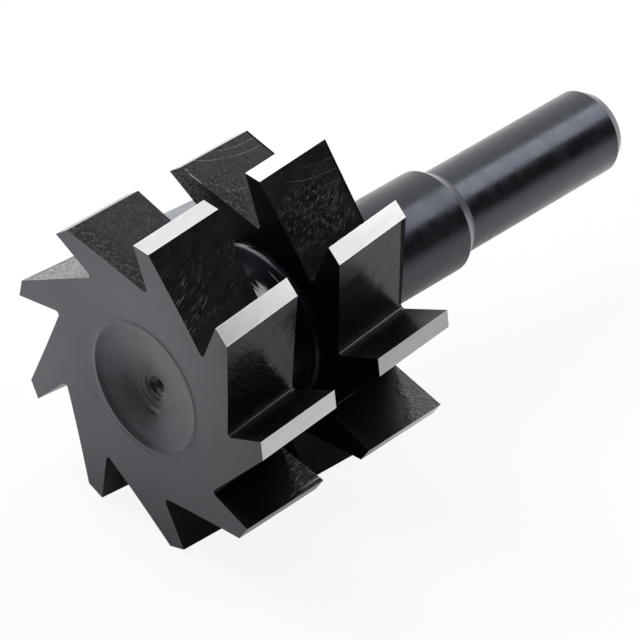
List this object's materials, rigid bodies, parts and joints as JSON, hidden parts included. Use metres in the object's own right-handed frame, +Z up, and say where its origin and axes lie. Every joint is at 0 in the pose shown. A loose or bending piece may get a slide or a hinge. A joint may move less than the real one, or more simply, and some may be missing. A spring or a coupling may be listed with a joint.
{
  "type": "slot cutter router bit",
  "caption": "One-piece steel slot cutter bit: hooked teeth on discs with a slot between them, on a neck and a straight shank that a collet holds.",
  "frame": {"origin": "on the tool axis, at the shoulder where the shank starts", "axes": "+X along the tool axis towards the free end of the shank, +Z up as the bit lies at rest"},
  "size_m": [0.0891, 0.047, 0.0465],
  "materials": {
    "steel": "black oxide, with the lands of the teeth ground bright"
  },
  "bodies": {
    "root": {"slot_cutter": "steel"}
  },
  "joints": []
}
